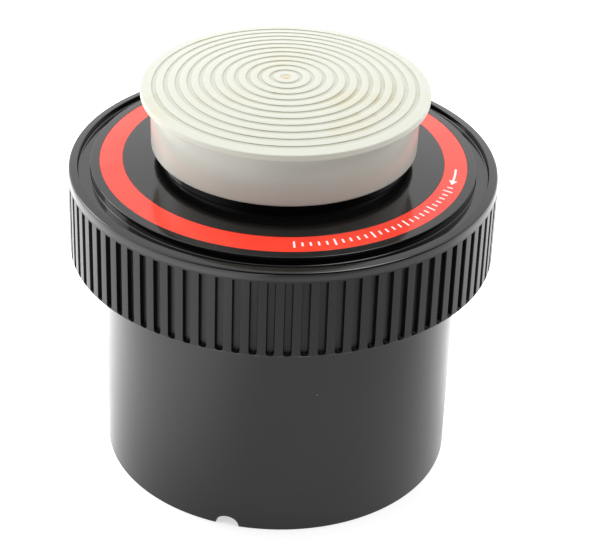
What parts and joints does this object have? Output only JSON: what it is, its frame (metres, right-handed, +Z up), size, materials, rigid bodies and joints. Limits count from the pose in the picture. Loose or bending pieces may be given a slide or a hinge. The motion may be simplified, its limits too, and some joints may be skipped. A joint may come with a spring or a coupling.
{
  "type": "film developing tank",
  "caption": "Round light-tight film developing tank with a ribbed screw lid, red ring, push-on cream cap, funnel, column and reel inside.",
  "frame": {"origin": "centre of the base rim, on the surface that the tank stands on", "axes": "+Z up along the tank's axis, -Y towards the front"},
  "size_m": [0.122, 0.122, 0.1189],
  "materials": {
    "tank_plastic": "glossy moulded black",
    "lid_plastic": "glossy moulded black with a ribbed grip",
    "label_red": "printed red ring",
    "gasket_rubber": "matt black",
    "funnel_plastic": "glossy moulded black",
    "cap_plastic": "soft cream polyethylene",
    "column_plastic": "moulded black",
    "reel_plastic": "white nylon",
    "ball_steel": "polished",
    "clip_plastic": "red moulded"
  },
  "bodies": {
    "tank": {"tank_body": "tank_plastic"},
    "column": {"centre_column": "column_plastic", "column_foot": "column_plastic"},
    "reel_lower": {"reel_lower_half": "reel_plastic"},
    "reel_upper": {"reel_upper_half": "reel_plastic"},
    "lower_ball": {"lower_grip_ball": "ball_steel"},
    "upper_ball": {"upper_grip_ball": "ball_steel"},
    "clip": {"reel_clip": "clip_plastic"},
    "lid_seal": {"lid_gasket": "gasket_rubber"},
    "lid": {"screw_lid": "lid_plastic", "light_trap_funnel": "funnel_plastic", "label_ring": "label_red"},
    "cap": {"push_on_cap": "cap_plastic"}
  },
  "joints": [
    {"name": "column_spin", "type": "hinge", "parent": "tank", "child": "column", "pos_m": [0, 0, 0], "axis": [0, 0, 1], "continuous": true},
    {"name": "reel_slide", "type": "slide", "parent": "column", "child": "reel_lower", "axis": [0, 0, 1], "range_m": [0, 0.003]},
    {"name": "reel_twist", "type": "hinge", "parent": "reel_lower", "child": "reel_upper", "pos_m": [0, 0, 0], "axis": [0, 0, 1], "range_deg": [0, 45]},
    {"name": "lower_ball_roll", "type": "slide", "parent": "reel_lower", "child": "lower_ball", "axis": [-0.342, 0.9397, 0], "range_m": [-0.0008, 0.0008]},
    {"name": "upper_ball_roll", "type": "slide", "parent": "reel_upper", "child": "upper_ball", "axis": [-0.342, 0.9397, 0], "range_m": [-0.0008, 0.0008]},
    {"name": "clip_slide", "type": "slide", "parent": "column", "child": "clip", "axis": [0, 0, 1], "range_m": [0, 0.005]},
    {"name": "lid_rise", "type": "slide", "parent": "tank", "child": "lid_seal", "axis": [0, 0, 1], "range_m": [0, 0.0101]},
    {"name": "lid_turn", "type": "hinge", "parent": "lid_seal", "child": "lid", "pos_m": [0, 0, 0], "axis": [0, 0, 1], "range_deg": [0, 300]},
    {"name": "cap_lift", "type": "slide", "parent": "lid", "child": "cap", "axis": [0, 0, 1], "range_m": [0, 0.08]}
  ],
  "couplings": [
    {"joint": "lid_rise", "follows": "lid_turn", "m_per_rad": 0.0019099}
  ]
}
